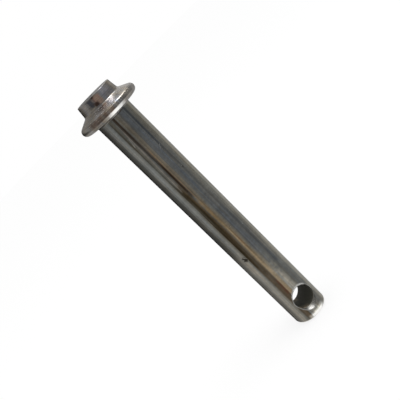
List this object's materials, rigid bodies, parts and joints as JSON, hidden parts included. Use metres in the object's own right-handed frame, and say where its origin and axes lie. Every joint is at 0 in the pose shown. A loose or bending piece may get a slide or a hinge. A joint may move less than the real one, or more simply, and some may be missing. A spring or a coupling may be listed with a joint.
{
  "type": "top link pin",
  "caption": "Forged steel hitch pin with a tapered boss, a round-edged collar and a plain shank, cross-drilled near its tip for a linch pin.",
  "frame": {"origin": "centre of the tip's flat end, on which the pin stands", "axes": "+Z along the pin's axis from the tip towards the head; +Y along the cross hole"},
  "size_m": [0.0326, 0.0326, 0.1541],
  "materials": {
    "steel": "bright drawn steel with a thin greyish plating, lengthwise streaks and small nicks"
  },
  "bodies": {
    "root": {"headed_pin": "steel"}
  },
  "joints": []
}
